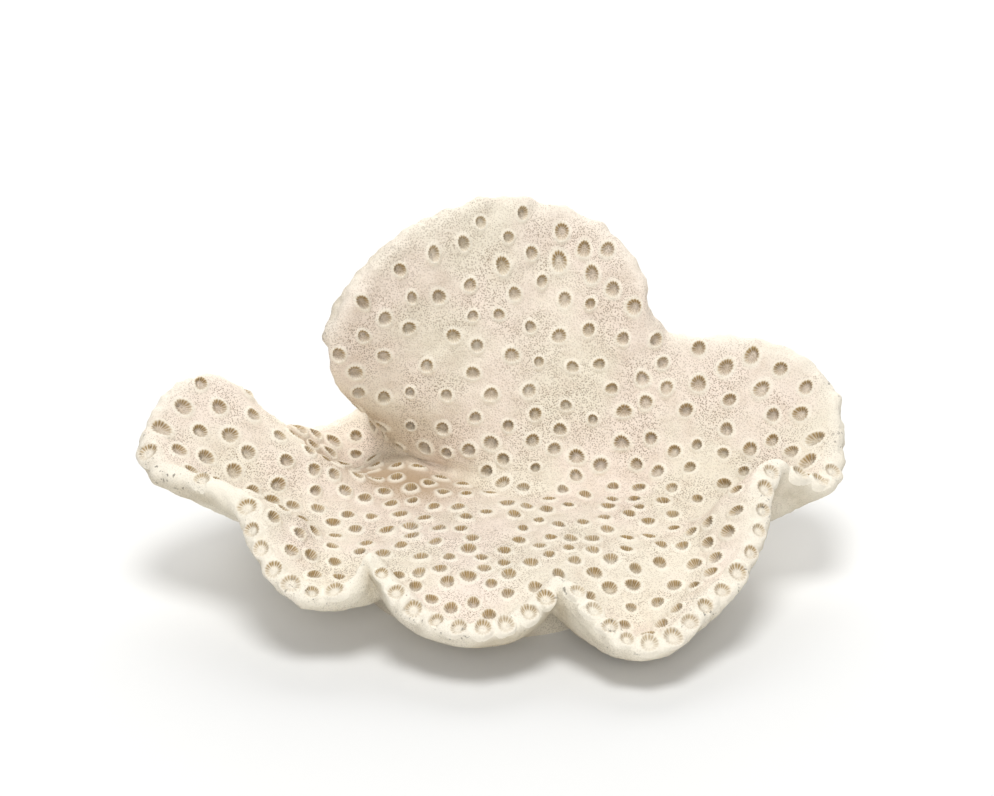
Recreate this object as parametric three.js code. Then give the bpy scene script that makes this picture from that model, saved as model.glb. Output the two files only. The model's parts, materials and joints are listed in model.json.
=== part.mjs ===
// A cup coral, the kind sold as "mushroom coral": one stony plate that grew outwards from a short
// foot and folded at its margin into seven lobes. The tallest lobe stands up at the back, the
// others spread low round a shallow dish. The plate is one piece, cut off flat under the foot.
//
// Units are millimetres, +Z is up, +Y runs from the front of the dish to the tall lobe at the back.
// The origin is the middle of the bounding box's bottom face, so the coral stands on Z = 0.
import * as THREE from "three";

const PLATE_THICKNESS = 5.2;
const HALF = PLATE_THICKNESS / 2;
const FLOOR_HEIGHT = 11.5; // of the plate's middle layer at the centre of the dish
const CENTRE = new THREE.Vector3(0, -17, FLOOR_HEIGHT);
const FOOT = { x: 0, y: -10.5, halfWidth: 30, halfDepth: 27.5 }; // the flat cut, an oval

// The lobes, counterclockwise from above, each beginning at the fold before it. "root" is where
// that fold meets the edge of the dish's floor, and "crest" how far the middle of the fold stands
// off the straight line from there to the lip. "bow" is the same for the middle of the lobe.
// "lip" holds points along the lobe's outer edge.
const LOBES = [
  {
    name: "front middle, which curls down at its lip",
    root: [-18, -33],
    crest: [-1, -3, -3],
    bow: [0, -2, 0],
    lip: [
      [-27, -39.5, 20.5], [-22, -46, 16.5], [-15, -52, 12.5], [-5, -56, 11.5], [5, -53, 12],
      [10, -48, 14.5],
    ],
  },
  {
    name: "front right, the lowest",
    root: [9, -35],
    crest: [0, -3, -3],
    bow: [-1, -2, -4],
    lip: [
      [13, -44, 17], [17, -48, 16], [21, -53, 13], [27, -58, 9.5], [35, -57, 9], [43, -49, 12],
      [51, -40, 15.5], [56, -31, 20.5],
    ],
  },
  {
    name: "right, a wing that leans out",
    root: [41, -18],
    crest: [0, 0, 1],
    bow: [2, 0, -3],
    lip: [
      [58, -22, 26.5], [61, -15, 29.5], [66, -14, 26.5], [72, -12, 23.5], [76, -4, 26], [77, 6, 31],
      [74, 13, 37], [66, 18, 42], [57, 22, 43], [47, 24, 42.5],
    ],
  },
  {
    name: "right half of the tall back lobe",
    root: [30, 6],
    crest: [1, 0, 0],
    bow: [0, 2, 0],
    lip: [[39, 25, 43], [34, 25, 49], [33, 26, 56.5], [28, 30, 62.5], [20, 34, 68], [11, 35, 71]],
  },
  {
    name: "left half of the tall back lobe, turned a little towards the front",
    root: [4, 7],
    crest: [0, 2, 0],
    bow: [0, 3, 0],
    lip: [
      [1, 32, 73], [-10, 28, 72.5], [-21, 22, 68.5], [-30, 17, 62], [-36, 14, 54], [-38, 13, 45],
      [-36, 16, 37], [-31, 24, 29],
    ],
  },
  {
    name: "back left, low and almost level",
    root: [-19, 20],
    crest: [0, 0, 0],
    bow: [-1, 3, -6],
    lip: [[-28, 36, 20], [-31, 42, 16], [-37, 40, 14], [-44, 35, 14], [-50, 28, 17.5], [-55, 20, 23]],
  },
  {
    name: "left, which rises to a rounded crest beside the back left one",
    root: [-26, 3],
    crest: [0, -3.5, -1],
    bow: [-2, 0, -2],
    lip: [
      [-60, 12, 33.5], [-66, 7, 40.5], [-74, 0, 38], [-77, -8, 33], [-75, -16, 30], [-68, -20, 29],
      [-60, -24, 28],
    ],
  },
  {
    name: "front left",
    root: [-37, -19],
    crest: [0, 0, 1],
    bow: [0, 0, 0],
    lip: [[-54, -28, 26], [-51, -36, 21], [-45, -44, 16], [-37, -47, 14], [-30, -45, 17]],
  },
];
const ROOT_RISE = 0.5; // of the floor's edge above its centre

const SPOKES = 120; // sections round the centre
const FLOOR_RINGS = 6; // from the centre to the edge of the floor
const WALL_RINGS = 13; // from there to the lip
const FLARE_START = 2; // rings out from the floor's edge, where the foot's flare meets the wall
const FLARE_RINGS = 5; // under the plate, from that ring down to the foot
const LIP_TURNS = [30, -30]; // degrees round the lip, between its upper and lower side
const NORMAL_SMOOTHING = 10; // rounds of averaging, which keep tight folds from crossing

// The four curves that run round the coral, from the middle of the floor out to the lip.
function curvesAround() {
  const roots = LOBES.map(({ root: [x, y] }) => new THREE.Vector3(x, y, FLOOR_HEIGHT + ROOT_RISE));
  const floorEdge = new THREE.CatmullRomCurve3(roots, true, "centripetal");
  const sections = LOBES.flatMap(({ lip, crest, bow }, lobe) => {
    const nextCrest = LOBES[(lobe + 1) % LOBES.length].crest;
    return lip.map((point, i) => {
      const share = i / lip.length;
      const edge = floorEdge.getPoint((lobe + share) / LOBES.length);
      const rise = new THREE.Vector3(...crest).lerp(new THREE.Vector3(...nextCrest), share);
      rise.addScaledVector(new THREE.Vector3(...bow), Math.sin(Math.PI * share));
      return section(edge, new THREE.Vector3(...point), rise);
    });
  });
  return [0, 1, 2, 3].map(
    (i) => new THREE.CatmullRomCurve3(sections.map((s) => s[i]), true, "centripetal"),
  );
}

function section(edge, lip, rise) {
  const floor = CENTRE.clone().lerp(edge, 0.5).setZ(FLOOR_HEIGHT);
  const wall = edge.clone().lerp(lip, 0.5).add(rise);
  const inset = lip.clone().sub(wall).setLength(HALF);
  return [floor, edge, wall, lip.sub(inset)];
}

// grid[ring][spoke] of the plate's middle layer, without its centre point.
function middleLayer() {
  const around = curvesAround();
  const spokes = Array.from({ length: SPOKES }, (_, spoke) => {
    const points = around.map((curve) => curve.getPoint(spoke / SPOKES));
    return new THREE.CatmullRomCurve3([CENTRE, ...points], false, "centripetal");
  });
  const stops = [];
  for (let i = 1; i <= FLOOR_RINGS; i++) stops.push((0.5 * i) / FLOOR_RINGS);
  for (let i = 1; i <= WALL_RINGS; i++) stops.push(0.5 + (0.5 * i) / WALL_RINGS);
  return stops.map((t) => spokes.map((curve) => curve.getPoint(t)));
}

// The unit normal at each point of the grid, pointing to the dish's side.
function normalsOf(grid) {
  return grid.map((row, ring) =>
    row.map((_, spoke) => {
      const outer = grid[Math.min(ring + 1, grid.length - 1)][spoke];
      const inner = ring ? grid[ring - 1][spoke] : CENTRE;
      const next = row[(spoke + 1) % SPOKES];
      const before = row[(spoke + SPOKES - 1) % SPOKES];
      return outer.clone().sub(inner).cross(next.clone().sub(before)).normalize();
    }),
  );
}

function averaged(normals) {
  return normals.map((row, ring) =>
    row.map((normal, spoke) => {
      const sum = normal.clone().multiplyScalar(2);
      sum.add(row[(spoke + 1) % SPOKES]).add(row[(spoke + SPOKES - 1) % SPOKES]);
      if (ring) sum.add(normals[ring - 1][spoke]);
      if (ring < normals.length - 1) sum.add(normals[ring + 1][spoke]);
      return sum.normalize();
    }),
  );
}

function offset(grid, normals, distance) {
  return grid.map((row, ring) =>
    row.map((point, spoke) => point.clone().addScaledVector(normals[ring][spoke], distance)),
  );
}

// Rows that carry the lip round in an arc from the upper side to the lower one.
function lipRows(grid, normals) {
  const last = grid.length - 1;
  return LIP_TURNS.map((degrees) =>
    grid[last].map((point, spoke) => {
      const normal = normals[last][spoke];
      const out = point.clone().sub(grid[last - 1][spoke]);
      out.addScaledVector(normal, -out.dot(normal)).normalize();
      const angle = THREE.MathUtils.degToRad(degrees);
      return point
        .clone()
        .addScaledVector(out, HALF * Math.cos(angle))
        .addScaledVector(normal, HALF * Math.sin(angle));
    }),
  );
}

// Rows under the plate, from the underside "start" down to the edge of the flat cut.
function flareRows(start, outside) {
  const curves = start.map((point, spoke) => {
    const angle = Math.atan2(point.y - FOOT.y, point.x - FOOT.x);
    const edge = new THREE.Vector3(
      FOOT.x + FOOT.halfWidth * Math.cos(angle),
      FOOT.y + FOOT.halfDepth * Math.sin(angle),
      0,
    );
    const reach = point.distanceTo(edge) / 3;
    const aboveEdge = edge.clone().add(new THREE.Vector3(0, 0, reach));
    const onwards = point.clone().sub(outside[spoke]).setLength(reach).add(point);
    return new THREE.CubicBezierCurve3(point, onwards.lerp(aboveEdge, 0.5), aboveEdge, edge);
  });
  return Array.from({ length: FLARE_RINGS }, (_, i) =>
    curves.map((curve) => curve.getPoint((i + 1) / FLARE_RINGS)),
  );
}

// A closed surface through the rows, with a fan of triangles at each pole.
function closedSkin(top, rows, bottom) {
  const index = [];
  const at = (ring, spoke) => 1 + ring * SPOKES + (spoke % SPOKES);
  const lastRow = rows.length - 1;
  const end = 1 + rows.length * SPOKES;
  for (let s = 0; s < SPOKES; s++) {
    index.push(0, at(0, s), at(0, s + 1));
    for (let r = 0; r < lastRow; r++) {
      index.push(at(r, s), at(r + 1, s), at(r + 1, s + 1));
      index.push(at(r, s), at(r + 1, s + 1), at(r, s + 1));
    }
    index.push(at(lastRow, s), end, at(lastRow, s + 1));
  }
  const geometry = new THREE.BufferGeometry().setFromPoints([top, ...rows.flat(), bottom]);
  geometry.setIndex(index);
  return geometry;
}

function coralGeometry() {
  const middle = middleLayer();
  let normals = normalsOf(middle);
  for (let i = 0; i < NORMAL_SMOOTHING; i++) normals = averaged(normals);
  const upper = offset(middle, normals, HALF);
  const underside = offset(middle, normals, -HALF).reverse();
  const wall = underside.slice(0, WALL_RINGS + 1 - FLARE_START);
  const flare = flareRows(wall.at(-1), wall.at(-2));
  const rows = [...upper, ...lipRows(middle, normals), ...wall, ...flare];
  const top = CENTRE.clone().setZ(FLOOR_HEIGHT + HALF);
  const bottom = new THREE.Vector3(FOOT.x, FOOT.y, 0);
  return closedSkin(top, rows, bottom);
}

const geometry = coralGeometry();
geometry.computeBoundingBox();
const { min, max } = geometry.boundingBox;
geometry.translate(-(min.x + max.x) / 2, -(min.y + max.y) / 2, -min.z);
geometry.computeVertexNormals();

const coral = new THREE.Mesh(
  geometry,
  new THREE.MeshStandardMaterial({ color: 0xe4d5c3, roughness: 0.9, metalness: 0 }),
);
coral.name = "coral";

const part = new THREE.Group();
part.add(coral);
export default part;
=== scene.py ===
"""The looks of a dried cup coral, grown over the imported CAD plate.

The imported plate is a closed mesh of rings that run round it, from a pole in the middle of the dish,
out to the lip, back under the plate and down to a pole under the foot. This script reads those rings,
lays a smooth spline surface through them and gives it a fine skin, then sets several hundred cups
into its upper side: the calices that the coral's polyps sat in.

A place on the surface is one complex number. Its size is the ring, counted from the upper pole, and
its angle is the spoke's. Lengths are in millimetres until a mesh is made, which is in metres.
"""

import json
import math

import bmesh
import bpy
import numpy as np
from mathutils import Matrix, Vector

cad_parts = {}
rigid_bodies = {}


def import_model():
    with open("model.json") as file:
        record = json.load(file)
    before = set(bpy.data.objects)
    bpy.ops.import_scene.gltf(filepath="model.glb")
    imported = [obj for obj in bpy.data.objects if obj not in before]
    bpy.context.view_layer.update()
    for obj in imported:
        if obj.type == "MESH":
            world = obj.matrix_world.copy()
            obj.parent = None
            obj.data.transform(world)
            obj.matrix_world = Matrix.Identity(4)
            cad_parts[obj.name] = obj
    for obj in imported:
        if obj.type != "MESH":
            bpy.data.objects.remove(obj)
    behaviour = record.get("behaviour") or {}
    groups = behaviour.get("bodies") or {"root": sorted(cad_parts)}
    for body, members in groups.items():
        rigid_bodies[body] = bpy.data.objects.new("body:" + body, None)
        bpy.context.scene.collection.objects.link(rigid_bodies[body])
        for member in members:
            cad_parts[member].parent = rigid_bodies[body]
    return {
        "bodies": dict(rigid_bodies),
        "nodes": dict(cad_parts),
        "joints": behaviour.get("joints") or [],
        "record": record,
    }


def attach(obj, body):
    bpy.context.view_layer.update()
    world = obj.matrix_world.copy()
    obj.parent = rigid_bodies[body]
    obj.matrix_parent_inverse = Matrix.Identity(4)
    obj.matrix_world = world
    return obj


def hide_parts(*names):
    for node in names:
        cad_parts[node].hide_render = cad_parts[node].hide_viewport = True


MM = 0.001
SEED = 11
TAU = 2 * math.pi

# The plate's rings, as the CAD model counts them from the pole in the dish.
LIP_RING = 20.5  # the outermost line of the lip
UPPER_RINGS = 19.0  # the flat part of the upper side ends here, and the lip's rounding begins
FOOT_RINGS = (36, 39)  # uneven growth fades out between these, so that the foot stands level
NET_ROUNDS = 3  # of correction, which bring the spline surface close to the CAD plate
FIRST_RING = 0.02  # the spline surface is read no nearer to the pole, where its slopes vanish

# Skin: the longest edges of its triangles.
EDGE_UPPER = 1.25
EDGE_AT_CUP = 0.76
EDGE_UNDER = 1.9
EDGE_ROUNDS = 7  # of halving, at most
FINE_REACH = 1.25  # the skin is fine as far as this from a cup's middle, over its radius

# Uneven growth: the lengths of its waves, and how far they stand off the smooth plate.
SWELLING_LENGTH = 19
LUMP_LENGTH = 6.5
PIMPLE_LENGTH = 2.6
SWELLING_HEIGHT = 0.16
LUMP_HEIGHT = 0.05
LUMP_HEIGHT_UPPER = 0.07  # added on the upper side
LUMP_HEIGHT_LIP = 0.2  # added on the lip
PIMPLE_HEIGHT_UPPER = 0.04
PIMPLE_HEIGHT_LIP = 0.1
BAND_HEIGHT = 0.14
BAND_RINGS = 1.3  # from one growth band on the underside to the next, in rings
BAND_BEND = 1.6  # how far the swellings push the bands to and fro, in radians

# The tall back lobe begins gradually between these heights, distances from the middle plane, and
# distances behind the centre.
BACK_LOBE_HEIGHTS = (22, 32)
BACK_LOBE_SIDES = (36, 44)
BACK_LOBE_DEPTHS = (12, 20)

# Where the cups are
CUP_SPACING_FLOOR = 4.8
CUP_SPACING_WALL = 6.1
WALL_HEIGHTS = (16, 34)  # the spacing changes from the floor's to the wall's between these
CUP_SPACING_VARIES = (0.84, 1.12)
CUP_TRIES = 14000  # random places looked at
LIP_ROW_RINGS = (17.5, 20.3)  # a row of cups runs along the lip of the low lobes between these
LIP_ROW_TRIES = 29  # rings looked at between them
ROUND_STEPS = 2401  # steps of a walk round the coral, along the lip
LIP_ROW_OUTWARD = 0.45  # how far its cups turn outwards, over how far they turn up
LIP_ROW_STEPS = (4.7, 5.9)
LIP_ROW_GAP = 4.2  # kept between any two of its cups, also across a fold
LIP_ROW_BELOW = 32  # the row runs only where the lip is lower than this, at the front
POLE_RINGS = 0.7  # no cup stands nearer to the pole in the dish, where the rings run together
FLAT_REACH = 1.3  # a cup needs a flat place as wide as this many times its radius
FLAT_WITHIN = 0.6  # how far the plate may stray from its tangent plane under a cup
LIP_WITHIN = 0.5  # the same for the cups of the row, to their left and right only
ALL_ROUND = np.arange(8) * TAU / 8
LEFT_AND_RIGHT = np.array([TAU / 4, -TAU / 4])

# The cups themselves
CUP_RADIUS = 1.54  # from the middle to the crest of the ring
CUP_RADIUS_BACK = 1.48  # on the tall back lobe
CUP_RADIUS_LIP = 1.8
CUP_RADIUS_VARIES = 0.1
CUP_DEPTH_BACK = 0.7  # over the depth elsewhere
CUP_DEPTH_LIP = 0.45
LIP_LESS_DIRT_AND_SHADE = 0.15  # how much less brown dirt and painted shade the cups on the lip hold
MIDDLE_DIRT_AND_SHADE_LIP = 0.1  # the dirt and painted shade in the middle of those cups, over that in others
STRETCH_RINGS = (11, 18)  # cups are longer towards the lip, from the first of these rings on
SEPTA = 16  # the upright blades in a cup
COLUMNS = 2 * SEPTA  # a cup's grid has a column on each septum and one in each gap
SMALL_SEPTUM = 0.75  # every other septum, over the large ones between
OVAL = 0.05  # how far a cup's outline strays from a circle, as an oval
THREE_SIDED = 0.03  # the same, as a three-sided shape
ROUGHNESS = 0.03
WALK_RINGS = 3  # how far to each side of a cup its surroundings are measured
WALK_STEPS = 49

# One cup's section, from outside its ring to its middle. "at" is the distance from the middle over
# the crest's radius, "gap" the height between two septa, "blade" how far a septum stands above that.
SECTION_AT = [1.72, 1.46, 1.24, 1.06, 0.95, 0.86, 0.76, 0.64, 0.50, 0.34, 0.16]
SECTION_GAP = [-0.05, 0.04, 0.16, 0.29, 0.28, 0.02, -0.45, -0.82, -1.05, -1.08, -0.90]
SECTION_BLADE = [0.0, 0.0, 0.04, 0.12, 0.20, 0.38, 0.66, 0.78, 0.72, 0.46, 0.14]
SECTION_RING_TONE = [0.0, 0.25, 0.65, 1.0, 1.0, 0.8, 0.5, 0.3, 0.2, 0.2, 0.2]
# How much of the cups' brown dirt and painted shade shows across the section.
SECTION_PIT_TONE = [0.0, 0.0, 0.0, 0.2, 0.7, 1.0, 1.0, 1.0, 1.0, 0.9, 0.8]
SECTION_IS_MIDDLE = [0, 0, 0, 0, 0, 0, 0, 0.1, 0.6, 1, 1]
MIDDLE_HEIGHT = -0.8
MIDDLE_RING_TONE = 0.1
MIDDLE_PIT_TONE = 0.4
SEPTA_LESS_DIRT_AND_SHADE = 0.85  # how much less dirt and painted shade there is on a septum than in a gap, where shade falls
LIP_CUP_SINK = 0.3  # of the lip cups' level rings, below the top of the rounding
PAINTED_SHADE_SIDE = np.array([0.0, 0.5, 0.87])  # towards the back and up, where a cup's inner wall lies in shade under light from above
DIRT_AND_PAINTED_SHADE_ROUND = (0.72, 0.42)  # the dirt and painted shade round a cup on average, and how much more painted shade on its back and upper side

# How the cups are shared out over pieces
FLOOR_BELOW = 17
BACK_BEYOND = 10
BACK_HALF_WIDTH = 40

# The skin under a cup, out of sight
PIT_DEPTH = 2.0  # how far it is pushed down
PIT_EDGE = (0.85, 0.99)  # where that begins and ends, over the radius of the cup's ring
PIT_WITHIN = 4  # no part of a cup is further from its middle than this

# Tones
LIP_TONE_REACH = 4.0
BAND_TONE = 0.18  # how much of the upper side's colour shows on average, and none on a band's top

# The valley with painted brown shade, from its outer to its inner end, seen from above
VALLEY = np.array([[-48.0, 28.0], [-17.0, 13.0]])
VALLEY_WIDTH = 9
VALLEY_HEIGHTS = (20, 34)  # the painted shade fades out between these

# The flat cut under the foot
FOOT_CUT_RINGS = 8
FOOT_CUT_HEIGHT = 0.02


# ---------------------------------------------------------------- the plate as a spline surface


def read_rings(mesh):
    """The plate's rings as an array [ring, spoke, xyz], with its upper and lower pole, in mm."""
    shell = bmesh.new()
    shell.from_mesh(mesh)
    bmesh.ops.remove_doubles(shell, verts=shell.verts, dist=0.001 * MM)
    by_edges = sorted(shell.verts, key=lambda vert: -len(vert.link_edges))
    top, bottom = sorted(by_edges[:2], key=lambda vert: -vert.co.z)
    first = sorted(neighbours(top), key=lambda vert: math.atan2(*(vert.co - top.co).yx))
    rings = [first]
    seen = {top, *first}
    while bottom not in neighbours(rings[-1][0]):
        ring = rings[-1]
        following = [next_along(ring[i], ring[i - 1], seen) for i in range(len(ring))]
        seen.update(following)
        rings.append(following)
    places = np.array([[vert.co[:] for vert in ring] for ring in rings]) / MM
    poles = np.array(top.co) / MM, np.array(bottom.co) / MM
    shell.free()
    return places, *poles


def neighbours(vert):
    return {edge.other_vert(vert) for edge in vert.link_edges}


def next_along(vert, before, seen):
    """The corner one ring further out on vert's spoke, the one that its neighbour before touches too."""
    (found,) = (neighbours(vert) & neighbours(before)) - seen
    return found


def control_net(rings, pole):
    """A spline net whose surface passes close to the rings. Row 0 lies one ring before the pole."""
    opposite = np.roll(rings[:1], rings.shape[1] // 2, axis=1)
    centre = np.broadcast_to(pole, rings[:1].shape)
    target = np.concatenate([opposite, centre, rings, rings[-1:], rings[-1:]])
    net = target.copy()
    for _ in range(NET_ROUNDS):
        round_about = (np.roll(net, 1, axis=1) + 4 * net + np.roll(net, -1, axis=1)) / 6
        passed = (round_about[:-2] + 4 * round_about[1:-1] + round_about[2:]) / 6
        net[2:-2] += (target[1:-1] - passed)[1:-1]
    net[..., 2] = np.maximum(net[..., 2], 0)
    return net


def spline_weights(t):
    """The four weights of a uniform cubic B-spline at t, and their slopes."""
    s = 1 - t
    weights = np.stack([s**3, 3 * t**3 - 6 * t**2 + 4, 3 * s**3 - 6 * s**2 + 4, t**3]) / 6
    slopes = np.stack([-(s**2), 3 * t**2 - 4 * t, 4 * s - 3 * s**2, t**2]) / 2
    return weights, slopes


class Plate:
    """The smooth surface of the plate, without the small shapes that stand on it."""

    def __init__(self, node):
        rings, top, self.foot_centre = read_rings(node.data)
        self.net = control_net(rings, top)
        self.spokes = rings.shape[1]
        self.last_ring = len(rings) + 1  # where the flare meets the flat cut

    def evaluate(self, place):
        """Position, slope along the spoke, slope per radian round the plate, and outward normal."""
        ring = np.clip(np.abs(place), FIRST_RING, self.last_ring)
        spoke = np.angle(place) / TAU * self.spokes % self.spokes
        low_ring = np.minimum(ring.astype(int), self.last_ring - 1)
        low_spoke = spoke.astype(int)
        along, along_slope = spline_weights(ring - low_ring)
        across, across_slope = spline_weights(spoke - low_spoke)
        rows = low_ring + np.arange(4)[:, None]
        columns = (low_spoke + np.arange(-1, 3)[:, None]) % self.spokes
        patch = self.net[rows[:, None], columns[None, :]]
        position = np.einsum("in,jn,ijnk->nk", along, across, patch, optimize=True)
        outwards = np.einsum("in,jn,ijnk->nk", along_slope, across, patch, optimize=True)
        around = np.einsum("in,jn,ijnk->nk", along, across_slope, patch, optimize=True)
        around *= self.spokes / TAU
        return position, outwards, around, unit(np.cross(outwards, around))


def unit(vectors):
    return vectors / np.maximum(np.linalg.norm(vectors, axis=-1, keepdims=True), 1e-9)


def smoothstep(low, high, x):
    t = np.clip((x - low) / (high - low), 0, 1)
    return t * t * (3 - 2 * t)


# ---------------------------------------------------------------- uneven growth


class Waves:
    """A smooth random field: a sum of sine waves that run in random directions."""

    def __init__(self, dice, wavelength, count=14):
        direction = unit(dice.normal(size=(count, 3)))
        length = wavelength * dice.uniform(0.7, 1.5, (count, 1))
        self.wave = direction * TAU / length
        self.phase = dice.uniform(0, TAU, count)
        self.gain = math.sqrt(2 / count)

    def at(self, position):
        return np.sin(position @ self.wave.T + self.phase).sum(-1) * self.gain


class Growth:
    """How far the surface stands off the smooth plate: swellings, an uneven lip, bands underneath."""

    def __init__(self, dice):
        self.swelling = Waves(dice, SWELLING_LENGTH)
        self.lumps = Waves(dice, LUMP_LENGTH)
        self.pimples = Waves(dice, PIMPLE_LENGTH, 24)

    def height(self, position, ring):
        upper = 1 - smoothstep(LIP_RING, LIP_RING + 2, ring)
        near_lip = np.exp(-(((ring - LIP_RING) / 1.6) ** 2))
        lump_height = LUMP_HEIGHT + LUMP_HEIGHT_UPPER * upper + LUMP_HEIGHT_LIP * near_lip
        lumps = self.lumps.at(position) * lump_height
        pimple_height = PIMPLE_HEIGHT_UPPER * upper + PIMPLE_HEIGHT_LIP * near_lip
        pimples = self.pimples.at(position) * pimple_height
        bands = BAND_HEIGHT * self.band(position, ring)
        swelling = SWELLING_HEIGHT * self.swelling.at(position)
        return (swelling + lumps + pimples + bands) * (1 - smoothstep(*FOOT_RINGS, ring))

    def band(self, position, ring):
        """The growth bands that run round the underside, from -1 between two of them to 1 on one."""
        underneath = smoothstep(LIP_RING + 0.5, LIP_RING + 2.5, ring)
        return underneath * np.sin(TAU * ring / BAND_RINGS + BAND_BEND * self.swelling.at(position))


# ---------------------------------------------------------------- where the cups are


class Cups:
    """Places, frames and sizes of the cups, as arrays with one row a cup."""

    def __init__(self, plate, place, on_lip, dice):
        self.place = place
        self.on_lip = on_lip
        self.centre, outwards, around, self.normal = plate.evaluate(place)
        self.outwards = unit(outwards)
        self.sideways = np.cross(self.normal, self.outwards)
        self.around = around
        count = len(place)
        on_back = back_lobe_share(self.centre)
        radius = CUP_RADIUS + (CUP_RADIUS_BACK - CUP_RADIUS) * on_back
        varied = dice.normal(1, CUP_RADIUS_VARIES, count).clip(0.78, 1.2)
        self.radius = np.where(on_lip, CUP_RADIUS_LIP, radius) * varied
        near_lip = smoothstep(*STRETCH_RINGS, np.abs(place)) * ~on_lip
        self.stretch = 1 + near_lip * dice.uniform(0.0, 0.45, count)
        depth = np.where(on_lip, CUP_DEPTH_LIP, 1 + (CUP_DEPTH_BACK - 1) * on_back)
        self.depth = depth * dice.uniform(0.75, 1.1, count)
        self.rise = dice.uniform(0.6, 1.3, count)
        self.tilt = dice.uniform(0.3, 0.9, count)
        self.lean = dice.uniform(0.05, 0.3, count) * ~on_lip
        self.phase = dice.uniform(0, TAU, count)
        # The brown dirt and painted shade in each cup, and how much of it is left in its middle
        self.dirt_and_shade = dice.uniform(0.7, 1.0, count) - LIP_LESS_DIRT_AND_SHADE * on_lip
        self.middle_dirt_and_shade = np.where(on_lip, MIDDLE_DIRT_AND_SHADE_LIP, 1.0) * dice.uniform(0.35, 0.95, count)

    def __len__(self):
        return len(self.place)


def back_lobe_share(position):
    """1 on the tall back lobe and 0 elsewhere."""
    high = smoothstep(*BACK_LOBE_HEIGHTS, position[:, 2])
    between = 1 - smoothstep(*BACK_LOBE_SIDES, np.abs(position[:, 0]))
    return high * between * smoothstep(*BACK_LOBE_DEPTHS, position[:, 1])


def cup_spacing(position):
    wall = smoothstep(*WALL_HEIGHTS, position[:, 2])
    return CUP_SPACING_FLOOR + (CUP_SPACING_WALL - CUP_SPACING_FLOOR) * wall


def moved(place, frame, along, across):
    """The place reached by going so many millimetres outwards and sideways, if the plate were flat."""
    _, outwards, around, normal = frame
    ahead = unit(outwards)
    turn = across / (around * np.cross(normal, ahead)).sum(1)
    rings = (along - turn * (around * ahead).sum(1)) / np.linalg.norm(outwards, axis=1)
    return place + (rings + 1j * np.abs(place) * turn) * np.exp(1j * np.angle(place))


def lies_flat(plate, place, angles, within):
    """Whether the plate keeps close to its tangent plane at these angles round a cup."""
    frame = plate.evaluate(place)
    centre, outwards, _, normal = frame
    ahead = unit(outwards)
    sideways = np.cross(normal, ahead)
    reach = FLAT_REACH * CUP_RADIUS
    flat = np.full(len(place), True)
    for angle in angles:
        along, across = reach * math.cos(angle), reach * math.sin(angle)
        there = plate.evaluate(moved(place, frame, along, across))[0]
        stray = there - centre - along * ahead - across * sideways
        flat &= np.linalg.norm(stray, axis=1) < within
    return flat


def lip_row(plate, dice):
    """Places in a row along the lip of the lobes that lie low in front."""
    rings = np.linspace(*LIP_ROW_RINGS, LIP_ROW_TRIES)[:, None]
    spokes = np.exp(1j * np.linspace(0, TAU, ROUND_STEPS))
    position, _, _, normal = plate.evaluate((rings * spokes).ravel())
    outward = unit(position[:, :2])
    facing = normal[:, 2] + LIP_ROW_OUTWARD * (normal[:, :2] * outward).sum(1)
    place = rings[facing.reshape(len(rings), -1).argmax(0), 0] * spokes
    position = plate.evaluate(place)[0]
    steps = np.linalg.norm(np.diff(position, axis=0), axis=1)
    walked = np.concatenate([[0], np.cumsum(steps)])
    stops = np.cumsum(dice.uniform(*LIP_ROW_STEPS, int(walked[-1] / LIP_ROW_STEPS[0])))
    chosen = np.searchsorted(walked, stops[stops < walked[-1] - LIP_ROW_STEPS[0]])
    low = (position[chosen, 2] < LIP_ROW_BELOW) & (position[chosen, 1] < 0)
    row = place[chosen[low]]
    return row[lies_flat(plate, row, LEFT_AND_RIGHT, LIP_WITHIN)]


def random_places(plate, dice, rings, count):
    """Places spread evenly over the area of the plate's upper side, inside so many rings."""
    tries = count * 3
    place = rings * np.sqrt(dice.random(tries)) * np.exp(1j * dice.uniform(0, TAU, tries))
    _, outwards, around, _ = plate.evaluate(place)
    area = np.linalg.norm(np.cross(outwards, around), axis=1) / np.abs(place)
    area[np.abs(place) < POLE_RINGS] = 0
    chosen = dice.choice(tries, count, replace=False, p=area / area.sum())
    return place[chosen]


def scatter_cups(plate, dice):
    """A row of cups along the lip first, then cups that keep their distance over the upper side."""
    row = lip_row(plate, dice)
    inner = random_places(plate, dice, UPPER_RINGS - 0.2, CUP_TRIES)
    place = np.concatenate([row, inner[lies_flat(plate, inner, ALL_ROUND, FLAT_WITHIN)]])
    on_lip = np.arange(len(place)) < len(row)
    position = plate.evaluate(place)[0]
    spacing = cup_spacing(position) * dice.uniform(*CUP_SPACING_VARIES, len(place))
    spacing[on_lip] = LIP_ROW_GAP
    kept = []
    for i in range(len(place)):
        gap = np.linalg.norm(position[kept] - position[i], axis=1)
        needed = (spacing[kept] + spacing[i]) / 2
        if np.all(gap > needed):
            kept.append(i)
    return Cups(plate, place[kept], on_lip[kept], dice)


# ---------------------------------------------------------------- the skin


def starting_triangles(plate):
    """The places and triangles of the CAD plate's own rings, without the flat under the foot."""
    spokes = plate.spokes
    angle = np.arange(spokes) * TAU / spokes
    rings = np.arange(1, plate.last_ring + 1)
    place = np.concatenate([[0], (rings[:, None] * np.exp(1j * angle)).ravel()])
    triangles = []
    for s in range(spokes):
        t = (s + 1) % spokes
        triangles.append((0, 1 + s, 1 + t))
        for r in range(len(rings) - 1):
            near, far = 1 + r * spokes, 1 + (r + 1) * spokes
            triangles.append((near + s, far + s, far + t))
            triangles.append((near + s, far + t, near + t))
    return place, np.array(triangles)


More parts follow.
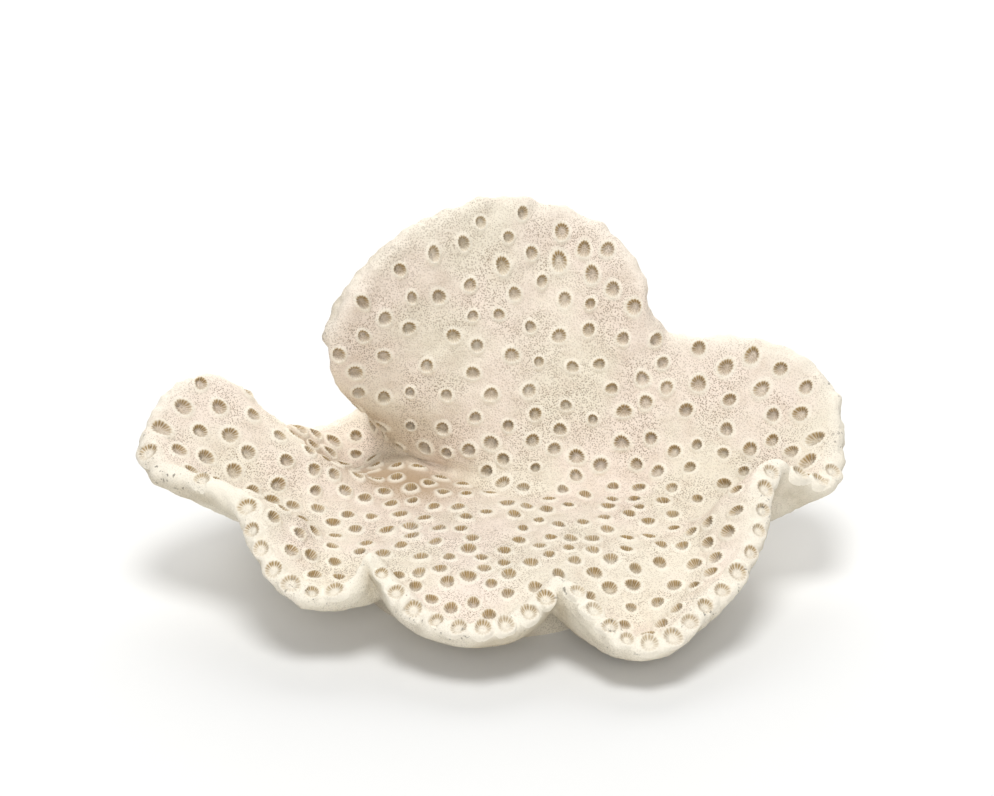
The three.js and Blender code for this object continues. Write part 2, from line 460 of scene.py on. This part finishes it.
def nearest_cup(position, cups):
    """The index of the cup nearest to each position, and the distance to it."""
    index = np.empty(len(position), int)
    distance = np.empty(len(position))
    batch = 4000  # positions at a time, to save memory
    for start in range(0, len(position), batch):
        part = slice(start, start + batch)
        apart = np.linalg.norm(position[part, None] - cups.centre[None], axis=2)
        index[part] = apart.argmin(1)
        distance[part] = apart.min(1)
    return index, distance


def wanted_edge(place, position, cups):
    upper = np.abs(place) < LIP_RING + 1
    wanted = np.where(upper, EDGE_UPPER, EDGE_UNDER)
    index, distance = nearest_cup(position[upper], cups)
    at_cup = distance < FINE_REACH * cups.radius[index] * cups.stretch[index]
    wanted[upper] = np.where(at_cup, EDGE_AT_CUP, EDGE_UPPER)
    return wanted


def refined(plate, cups):
    """The starting triangles, with each edge that is too long halved until none is."""
    place, triangles = starting_triangles(plate)
    for _ in range(EDGE_ROUNDS):
        corners = np.stack([triangles, np.roll(triangles, -1, axis=1)], axis=2)
        edges, edge_of = np.unique(np.sort(corners.reshape(-1, 2), axis=1), axis=0, return_inverse=True)
        edge_of = edge_of.reshape(-1, 3)
        middle = place[edges].mean(1)
        position = plate.evaluate(place)[0]
        length = np.linalg.norm(position[edges[:, 0]] - position[edges[:, 1]], axis=1)
        too_long = length > wanted_edge(middle, position[edges].mean(1), cups)
        if not too_long.any():
            break
        middle_index = np.where(too_long, len(place) + np.cumsum(too_long) - 1, -1)
        place = np.concatenate([place, middle[too_long]])
        triangles = split(triangles, middle_index[edge_of])
    return place, triangles


def split(triangles, middles):
    """Triangles cut at the middles of their edges. middles is -1 where an edge stays whole."""
    cut = middles >= 0
    count = cut.sum(1)
    pieces = [triangles[count == 0]]
    for wanted_count in (1, 2, 3):
        chosen = count == wanted_count
        corners, mids, cuts = triangles[chosen], middles[chosen], cut[chosen]
        turn = first_cut(cuts)
        column = (np.arange(3) + turn[:, None]) % 3
        a, b, c = np.take_along_axis(corners, column, 1).T
        ab, bc, ca = np.take_along_axis(mids, column, 1).T
        if wanted_count == 1:
            parts = [(a, ab, c), (ab, b, c)]
        elif wanted_count == 2:
            parts = [(ab, b, bc), (a, ab, bc), (a, bc, c)]
        else:
            parts = [(a, ab, ca), (ab, b, bc), (ca, bc, c), (ab, bc, ca)]
        pieces.extend(np.stack(part, axis=1) for part in parts)
    return np.concatenate(pieces)


def first_cut(cuts):
    """The edge to start from: the cut one whose predecessor is whole, or 0 where all are cut."""
    starts = cuts & ~np.roll(cuts, 1, axis=1)
    return np.where(starts.any(1), starts.argmax(1), 0)


def skin_mesh(plate, growth, cups):
    place, triangles = refined(plate, cups)
    ring = np.abs(place)
    position, _, _, normal = plate.evaluate(place)
    under_cup = pit_under_cups(position, ring, cups)
    height = growth.height(position, ring) - PIT_DEPTH * under_cup
    valley_shade = valley_shade_tone(position) * (ring < LIP_RING)
    on_bands = 1 - BAND_TONE + BAND_TONE * growth.band(position, ring)
    under = smoothstep(LIP_RING - 0.3, LIP_RING + 1.2, ring) * on_bands
    position = position + normal * height[:, None]
    tones = {
        "valley_shade": valley_shade,
        "ring": np.zeros(len(place)),
        "pit": under_cup,
        "under": under,
        "lip": lip_tone(plate, place),
    }
    return mesh_object("skin", position, triangles, tones)


def foot_cut(plate):
    """The flat cut under the foot, a hair above the lowest line of the skin."""
    spokes = np.exp(1j * np.arange(plate.spokes) * TAU / plate.spokes)
    rim = plate.evaluate(plate.last_ring * spokes)[0]
    shares = np.arange(FOOT_CUT_RINGS, 0, -1) / FOOT_CUT_RINGS
    rings = plate.foot_centre + shares[:, None, None] * (rim - plate.foot_centre)
    position = np.concatenate([rings.reshape(-1, 3), plate.foot_centre[None]])
    position[:, 2] = FOOT_CUT_HEIGHT
    tones = {"valley_shade": 0.0, "ring": 0.0, "pit": 0.0, "under": 1.0, "lip": 0.0}
    tones = {name: np.full(len(position), tone) for name, tone in tones.items()}
    triangles = disc_triangles(FOOT_CUT_RINGS, plate.spokes)[:, ::-1]
    return mesh_object("foot_cut", position, triangles, tones)


def pit_under_cups(position, ring, cups):
    """1 inside a cup's ring and 0 outside it."""
    inside = np.zeros(len(position))
    upper = np.flatnonzero(ring < LIP_RING + 1)
    index, distance = nearest_cup(position[upper], cups)
    offset = position[upper] - cups.centre[index]
    along = (offset * cups.outwards[index]).sum(1) / (cups.radius * cups.stretch)[index]
    across = (offset * cups.sideways[index]).sum(1) / cups.radius[index]
    reach = np.hypot(along, across)
    inside[upper] = np.where(distance < PIT_WITHIN, 1 - smoothstep(*PIT_EDGE, reach), 0)
    return inside


def valley_shade_tone(position):
    """Painted shade: 1 along the shaded valley between the tall lobe and the low one at the back left,
    else 0.
    """
    start, end = VALLEY
    valley = end - start
    from_start = position[:, :2] - start
    along = np.clip(from_start @ valley / (valley @ valley), 0, 1)
    distance = np.linalg.norm(from_start - along[:, None] * valley, axis=1)
    low = 1 - smoothstep(*VALLEY_HEIGHTS, position[:, 2])
    return np.exp(-((distance / VALLEY_WIDTH) ** 2)) * low


def lip_tone(plate, place):
    """1 on the lip, less on that of the tall lobe, fading over a few millimetres to 0."""
    lip = plate.evaluate(LIP_RING * np.exp(1j * np.angle(place)))[0]
    distance = np.linalg.norm(plate.evaluate(place)[0] - lip, axis=1)
    return np.exp(-((distance / LIP_TONE_REACH) ** 2)) * (1 - 0.5 * back_lobe_share(lip))


# ---------------------------------------------------------------- the cups


def cup_places(plate, cups, reach, angle):
    """Places at polar offsets from each cup's middle, measured along the surface.

    The arrays are [cup, section, column]. A column's ring comes from a walk along the spoke through
    the cup's middle, and its angle from the millimetres that one radian measures there.
    """
    along = reach * cups.stretch[:, None, None] * np.cos(angle)
    across = reach * np.sin(angle)
    place = np.empty(along.shape, complex)
    for i in range(len(cups)):
        middle = np.abs(cups.place[i])
        direction = np.exp(1j * np.angle(cups.place[i]))
        rings = np.linspace(middle - WALK_RINGS, middle + WALK_RINGS, WALK_STEPS)
        path, _, around, _ = plate.evaluate(rings * direction)
        steps = np.linalg.norm(np.diff(path, axis=0), axis=1)
        length = np.concatenate([[0], np.cumsum(steps)])
        length -= np.interp(middle, rings, length)
        shear = cups.around[i] @ cups.outwards[i] / (cups.around[i] @ cups.sideways[i])
        travel = along[i] - across[i] * shear
        rings_a_millimetre = rings / (around @ cups.sideways[i])
        sideways = across[i] * np.interp(travel, length, rings_a_millimetre)
        place[i] = (np.interp(travel, length, rings) + 1j * sideways) * direction
    return place


def cup_surface(plate, growth, cups, dice):
    """Positions and tones of every cup's grid [cup, section, column] and of its middle."""
    angle = np.arange(COLUMNS) * TAU / COLUMNS
    at = np.array(SECTION_AT)[:, None]
    shape = (len(cups), len(at), COLUMNS)
    reach = cups.radius[:, None, None] * at * outline(cups, angle)[:, None, :]
    position, direction = cup_base(plate, growth, cups, reach, angle)

    is_septum = np.arange(COLUMNS) % 2 == 0
    size = np.where(np.arange(COLUMNS) % 4 == 0, 1.0, SMALL_SEPTUM) * is_septum
    blade = size * dice.uniform(0.75, 1.1, (len(cups), COLUMNS))
    height = cup_height(cups, angle, blade)
    height += dice.normal(0, ROUGHNESS, shape) * (at < 1.15)
    position += direction * height[..., None]
    lean = (cups.lean * cups.radius)[:, None, None] * np.clip(1 - at, 0, 1) ** 1.5
    position += lean[..., None] * cups.outwards[:, None, None]
    middle = cups.centre + cups.normal * (MIDDLE_HEIGHT * cups.depth)[:, None]
    middle += cups.outwards * (cups.lean * cups.radius)[:, None]

    ring_tone = np.broadcast_to(np.array(SECTION_RING_TONE)[:, None], shape)
    return position, middle, ring_tone, pit_tones(cups, angle, blade)


def outline(cups, angle):
    """Each cup's outline [cup, column], over its radius: a circle with an oval and a three-sided bend."""
    oval = OVAL * np.sin(2 * angle + cups.phase[:, None])
    three_sided = THREE_SIDED * np.sin(3 * angle - cups.phase[:, None])
    return 1 + oval + three_sided


def cup_base(plate, growth, cups, reach, angle):
    """Where the cups' grids lie before they rise or sink, and the direction in which they then do."""
    at = np.array(SECTION_AT)[:, None]
    place = cup_places(plate, cups, reach, np.broadcast_to(angle, reach.shape))
    position, _, _, normal = plate.evaluate(place.ravel())
    position += normal * growth.height(position, np.abs(place.ravel()))[:, None]
    position = position.reshape(*reach.shape, 3)
    normal = normal.reshape(*reach.shape, 3)
    level = (cups.on_lip[:, None, None] * (1 - smoothstep(1.0, 1.6, at)))[..., None]
    position += level * (level_grid(cups, reach, angle) - position)
    inside = 1 - smoothstep(0.8, 1.2, at)[..., None]
    return position, unit(normal * (1 - inside) + cups.normal[:, None, None] * inside)


def cup_height(cups, angle, blade):
    """How far each cup's grid stands off its base. Its ring is higher on one side by the cup's tilt."""
    at = np.array(SECTION_AT)[:, None]
    gap = np.array(SECTION_GAP)[:, None]
    section = np.where(gap > 0, gap * cups.rise[:, None, None], gap * cups.depth[:, None, None])
    uneven = np.where(at > 0.85, -cups.tilt[:, None, None] * np.cos(angle), 0)
    height = section * (1 + uneven)
    height += np.array(SECTION_BLADE)[:, None] * blade[:, None] * cups.depth[:, None, None]
    return height


def pit_tones(cups, angle, blade):
    """How much brown dirt and painted shade there is over each cup's grid: most in the gaps between
    septa, and more painted shade on the back and upper side.
    """
    in_middle = np.array(SECTION_IS_MIDDLE)[:, None]
    dirt_and_shade = (1 - in_middle * (1 - cups.middle_dirt_and_shade[:, None, None])) * cups.dirt_and_shade[:, None, None]
    average, more = DIRT_AND_PAINTED_SHADE_ROUND
    shaded_side = angle_of_painted_shade(cups)[:, None, None]
    dirt_and_shade = dirt_and_shade * (average + more * np.cos(angle - shaded_side) * (1 - in_middle))
    return np.array(SECTION_PIT_TONE)[:, None] * (1 - SEPTA_LESS_DIRT_AND_SHADE * blade[:, None]) * dirt_and_shade


def level_grid(cups, reach, angle):
    """The cups' grids laid out in the plane across each cup's axis, where the lip would bend them."""
    middle = (cups.centre - LIP_CUP_SINK * cups.normal)[:, None, None]
    along = (reach * cups.stretch[:, None, None] * np.cos(angle))[..., None]
    across = (reach * np.sin(angle))[..., None]
    return middle + along * cups.outwards[:, None, None] + across * cups.sideways[:, None, None]


def angle_of_painted_shade(cups):
    """The direction, round each cup, of its back and upper side, which is painted in shade."""
    return np.arctan2(cups.sideways @ PAINTED_SHADE_SIDE, cups.outwards @ PAINTED_SHADE_SIDE)


def disc_triangles(sections, columns):
    """Triangles of a round grid whose corners come ring by ring from outside, then the middle."""
    triangles = []
    middle = sections * columns
    for c in range(columns):
        d = (c + 1) % columns
        for s in range(sections - 1):
            outer, inner = s * columns, (s + 1) * columns
            triangles.append((outer + c, outer + d, inner + d))
            triangles.append((outer + c, inner + d, inner + c))
        last = (sections - 1) * columns
        triangles.append((last + c, last + d, middle))
    return np.array(triangles)


def cup_objects(plate, growth, cups, dice):
    position, middle, ring_tone, pit_tone = cup_surface(plate, growth, cups, dice)
    count, sections, columns = ring_tone.shape
    one = disc_triangles(sections, columns)
    corners = sections * columns + 1
    vertices = np.concatenate([position.reshape(count, -1, 3), middle[:, None]], axis=1)
    middle_ring = np.full((count, 1), MIDDLE_RING_TONE)
    middle_pit = MIDDLE_PIT_TONE * cups.middle_dirt_and_shade[:, None]
    ring = np.concatenate([ring_tone.reshape(count, -1), middle_ring], axis=1)
    pit = np.concatenate([pit_tone.reshape(count, -1), middle_pit], axis=1)
    lip = np.repeat(lip_tone(plate, cups.place)[:, None], corners, axis=1)
    valley_shade = valley_shade_tone(vertices.reshape(-1, 3)).reshape(count, -1)
    made = []
    for name, chosen in cup_groups(cups).items():
        index = np.flatnonzero(chosen)
        triangles = (one[None] + np.arange(len(index))[:, None, None] * corners).reshape(-1, 3)
        tones = {
            "valley_shade": valley_shade[index].ravel(),
            "ring": ring[index].ravel(),
            "pit": pit[index].ravel(),
            "under": np.zeros(len(index) * corners),
            "lip": lip[index].ravel(),
        }
        made.append(mesh_object(name, vertices[index].reshape(-1, 3), triangles, tones))
    return made


def cup_groups(cups):
    x, y, z = cups.centre.T
    on_floor = (z < FLOOR_BELOW) & ~cups.on_lip
    back = (y > BACK_BEYOND) & (np.abs(x) < BACK_HALF_WIDTH) & ~on_floor & ~cups.on_lip
    side = ~on_floor & ~back & ~cups.on_lip
    return {"cups_floor": on_floor, "cups_back": back, "cups_sides": side, "cups_lip": cups.on_lip}


# ---------------------------------------------------------------- meshes


def mesh_object(name, position, triangles, tones):
    mesh = bpy.data.meshes.new(name)
    mesh.vertices.add(len(position))
    mesh.vertices.foreach_set("co", (position * MM).astype(np.float32).ravel())
    mesh.loops.add(triangles.size)
    mesh.loops.foreach_set("vertex_index", triangles.astype(np.int32).ravel())
    mesh.polygons.add(len(triangles))
    mesh.polygons.foreach_set("loop_start", np.arange(0, triangles.size, 3, dtype=np.int32))
    for tone, values in tones.items():
        layer = mesh.attributes.new(tone, "FLOAT", "POINT")
        layer.data.foreach_set("value", values.astype(np.float32))
    mesh.update(calc_edges=True)
    mesh.validate()
    mesh.shade_smooth()
    made = bpy.data.objects.new(name, mesh)
    bpy.context.scene.collection.objects.link(made)
    return made


# ---------------------------------------------------------------- material

PINK_BEIGE = "eddfd1"
GREY_BEIGE = "e9e0ce"
TAN = "d6c5b2"
CREAM = "f6efdf"
PORE = "8a745d"
# The brown of the painted shade in the valley
VALLEY_SHADE_BROWN = "a98d6a"
# The brown of the dirt and painted shade in the cups
DARK_DIRT_AND_SHADE = "856838"
PALE_DIRT_AND_SHADE = "b99b64"
UNDERSIDE = "e0d8c6"
UNDERSIDE_STAIN = "c0b49c"
UNDERSIDE_PORE = "8f846c"
SPECK = "5c564a"
TABLE = [0.78, 0.78, 0.77, 1]
GRAIN = 0.37  # the size of a pore's cell


def linear(hex_colour):
    """A screen colour such as "d8c9b4" as the linear values that a shader takes."""
    parts = [int(hex_colour[i : i + 2], 16) / 255 for i in (0, 2, 4)]
    return [*(c / 12.92 if c <= 0.04045 else ((c + 0.055) / 1.055) ** 2.4 for c in parts), 1]


class Nodes:
    """A short way to add and link shader nodes."""

    def __init__(self, material):
        material.use_nodes = True
        self.tree = material.node_tree
        self.tree.nodes.clear()

    def add(self, kind, settings=None, **inputs):
        node = self.tree.nodes.new("ShaderNode" + kind)
        for key, value in (settings or {}).items():
            setattr(node, key, value)
        for key, value in inputs.items():
            self.put(node.inputs[key.replace("_", " ")], value)
        return node

    def put(self, socket, value):
        if isinstance(value, bpy.types.NodeSocket):
            self.tree.links.new(value, socket)
        else:
            socket.default_value = value

    def math(self, operation, a, b=0.0):
        node = self.add("Math", {"operation": operation})
        self.put(node.inputs[0], a)
        self.put(node.inputs[1], b)
        return node.outputs[0]

    def ramp(self, value, low, high, to_low=0.0, to_high=1.0):
        """value's stretch from low to high as to_low to to_high, held at both ends."""
        settings = {"interpolation_type": "SMOOTHSTEP"}
        node = self.add("MapRange", settings, Value=value, From_Min=low, From_Max=high)
        self.put(node.inputs["To Min"], to_low)
        self.put(node.inputs["To Max"], to_high)
        return node.outputs["Result"]

    def mix(self, share, a, b):
        node = self.add("Mix", {"data_type": "RGBA"})
        self.put(node.inputs[0], share)
        self.put(node.inputs[6], a)
        self.put(node.inputs[7], b)
        return node.outputs[2]

    def tone(self, name):
        return self.add("Attribute", {"attribute_name": name}).outputs["Fac"]

    def noise(self, where, millimetres, detail=3.0):
        scale = 1 / (millimetres * MM)
        node = self.add("TexNoise", Vector=where, Scale=scale, Detail=detail)
        return node.outputs["Fac"]

    def cells(self, where, millimetres):
        scale = 1 / (millimetres * MM)
        return self.add("TexVoronoi", Vector=where, Scale=scale).outputs["Distance"]


def coral_material():
    material = bpy.data.materials.new("coral_skeleton")
    nodes = Nodes(material)
    where = nodes.add("TexCoord").outputs["Object"]
    grain = nodes.cells(where, GRAIN)
    pores = pore_share(nodes, where, grain)
    under = nodes.tone("under")
    lip = nodes.tone("lip")
    colour = nodes.mix(pale_share(nodes, lip), body_colour(nodes, where, pores), linear(CREAM))
    colour = with_dirt_and_shade(nodes, where, colour)
    colour = nodes.mix(under, colour, underside_colour(nodes, where, pores))
    colour = nodes.mix(speck_share(nodes, where, lip), colour, linear(SPECK))

    shader = nodes.add("BsdfPrincipled", Base_Color=colour)
    nodes.put(shader.inputs["Roughness"], nodes.ramp(grain, 0.1, 0.8, 0.78, 0.98))
    nodes.put(shader.inputs["Normal"], relief(nodes, where, grain, under))
    shader.inputs["Specular IOR Level"].default_value = 0.25
    nodes.add("OutputMaterial", Surface=shader.outputs["BSDF"])
    return material


def pore_share(nodes, where, grain):
    """The grain of fine pores in the skeleton, which is stronger in patches."""
    pores = nodes.ramp(grain, 0.15, 0.55, 1.0, 0.0)
    patches = nodes.ramp(nodes.noise(where, 9, 2.0), 0.38, 0.62, 0.35, 1.0)
    return nodes.math("MULTIPLY", pores, patches)


def body_colour(nodes, where, pores):
    """The skeleton between the cups: pink beige, greyer in patches, brown with painted shade in the
    shaded valley.
    """
    patches = nodes.ramp(nodes.noise(where, 22), 0.38, 0.62)
    body = nodes.mix(patches, linear(PINK_BEIGE), linear(GREY_BEIGE))
    body = nodes.mix(nodes.ramp(nodes.noise(where, 6), 0.45, 0.75, 0, 0.4), body, linear(TAN))
    body = nodes.mix(nodes.math("MULTIPLY", pores, 0.9), body, linear(PORE))
    # Painted shade: the valley between the tall lobe and the low lobe at the back left is browner.
    return nodes.mix(nodes.math("MULTIPLY", nodes.tone("valley_shade"), 0.8), body, linear(VALLEY_SHADE_BROWN))


def pale_share(nodes, lip):
    """Where the skeleton is cream: on the lip and on the rings of the cups."""
    on_rings = nodes.math("MULTIPLY", nodes.tone("ring"), 0.85)
    return nodes.math("MAXIMUM", on_rings, nodes.math("MULTIPLY", lip, 0.85))


def with_dirt_and_shade(nodes, where, colour):
    """The colour with brown dirt and painted shade over it, in the cups and most between the septa."""
    dirt_and_shade = nodes.mix(nodes.noise(where, 1.2), linear(DARK_DIRT_AND_SHADE), linear(PALE_DIRT_AND_SHADE))
    share = nodes.math("MINIMUM", nodes.math("MULTIPLY", nodes.tone("pit"), 1.3), 0.95)
    return nodes.mix(share, colour, dirt_and_shade)


def underside_colour(nodes, where, pores):
    """The underside, which is smoother and stained in patches."""
    stains = nodes.ramp(nodes.noise(where, 14, 5.0), 0.35, 0.7)
    below = nodes.mix(stains, linear(UNDERSIDE), linear(UNDERSIDE_STAIN))
    return nodes.mix(nodes.math("MULTIPLY", pores, 0.4), below, linear(UNDERSIDE_PORE))


def speck_share(nodes, where, lip):
    """A few grey specks along the lip."""
    speckled = nodes.ramp(nodes.noise(where, 1.1, 5.0), 0.6, 0.68)
    patches = nodes.ramp(nodes.noise(where, 9), 0.48, 0.58)
    specks = nodes.math("MULTIPLY", nodes.math("MULTIPLY", speckled, patches), lip)
    return nodes.math("MULTIPLY", specks, 0.75)


def relief(nodes, where, grain, under):
    """The shading normal of the pores and of a coarser unevenness."""
    depth = nodes.math("MULTIPLY", grain, nodes.ramp(under, 0, 1, 1.0, 0.7))
    fine = nodes.add("Bump", Strength=0.55, Distance=0.22 * MM, Height=depth)
    coarse_height = nodes.noise(where, 1.6, 4.0)
    coarse = nodes.add("Bump", Strength=0.4, Distance=0.25 * MM, Height=coarse_height)
    nodes.put(coarse.inputs["Normal"], fine.outputs["Normal"])
    return coarse.outputs["Normal"]


def floor_material():
    material = bpy.data.materials.new("floor")
    nodes = Nodes(material)
    shader = nodes.add("BsdfPrincipled", Base_Color=TABLE, Roughness=0.9)
    nodes.add("OutputMaterial", Surface=shader.outputs["BSDF"])
    return material


# ---------------------------------------------------------------- stage

# Metres, watts and degrees, as in Blender
FLOOR_SIZE = 6
LIGHTS = [  # name, place, width and power
    ("behind", (0, 0.8, 0.42), 1.0, 7.6),
    ("front", (0, -0.82, 0.4), 0.6, 3.2),
    ("overhead", (0, -0.1, 0.91), 0.4, 4.8),
]
LIT_POINT = Vector((0, 0, 0.02))
WORLD_STRENGTH = 0.32
CAMERA_POINT = Vector((0, 0, 0.042))  # in the middle of the picture
CAMERA_ELEVATION = 25
CAMERA_DISTANCE = 0.52
CAMERA_LENS = 87.6  # mm, on a sensor 36 mm wide


def add_floor():
    bpy.ops.mesh.primitive_plane_add(size=FLOOR_SIZE, location=(0, 0, 0))
    floor = bpy.context.object
    floor.name = "floor"
    floor.data.materials.append(floor_material())


def add_light(name, location, size, power):
    lamp = bpy.data.lights.new(name, "AREA")
    lamp.shape = "DISK"
    lamp.size = size
    lamp.energy = power
    light = bpy.data.objects.new(name, lamp)
    light.location = location
    light.rotation_euler = (LIT_POINT - light.location).to_track_quat("-Z", "Y").to_euler()
    bpy.context.scene.collection.objects.link(light)


def add_world():
    world = bpy.data.worlds.new("studio")
    world.use_nodes = True
    background = world.node_tree.nodes["Background"]
    background.inputs["Color"].default_value = (1, 1, 1, 1)
    background.inputs["Strength"].default_value = WORLD_STRENGTH
    bpy.context.scene.world = world


def add_camera():
    """A camera that looks down at the coral from the front."""
    elevation = math.radians(CAMERA_ELEVATION)
    back = Vector((0, -math.cos(elevation), math.sin(elevation)))
    data = bpy.data.cameras.new("camera")
    data.lens = CAMERA_LENS
    data.sensor_width = 36
    camera = bpy.data.objects.new("camera", data)
    camera.location = CAMERA_POINT + back * CAMERA_DISTANCE
    camera.rotation_euler = (-back).to_track_quat("-Z", "Y").to_euler()
    bpy.context.scene.collection.objects.link(camera)
    bpy.context.scene.camera = camera


# ---------------------------------------------------------------- the scene

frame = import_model()
bpy.context.view_layer.update()

rng = np.random.default_rng(SEED)
coral_plate = Plate(frame["nodes"]["coral"])
coral_growth = Growth(rng)
coral_cups = scatter_cups(coral_plate, rng)
skin = skin_mesh(coral_plate, coral_growth, coral_cups)
pieces = [skin, foot_cut(coral_plate), *cup_objects(coral_plate, coral_growth, coral_cups, rng)]
skeleton = coral_material()
for piece in pieces:
    piece.data.materials.append(skeleton)
    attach(piece, "root")
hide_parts("coral")

add_floor()
for light_values in LIGHTS:
    add_light(*light_values)
add_world()
add_camera()
bpy.context.scene.view_settings.view_transform = "Standard"

bpy.context.view_layer.update()
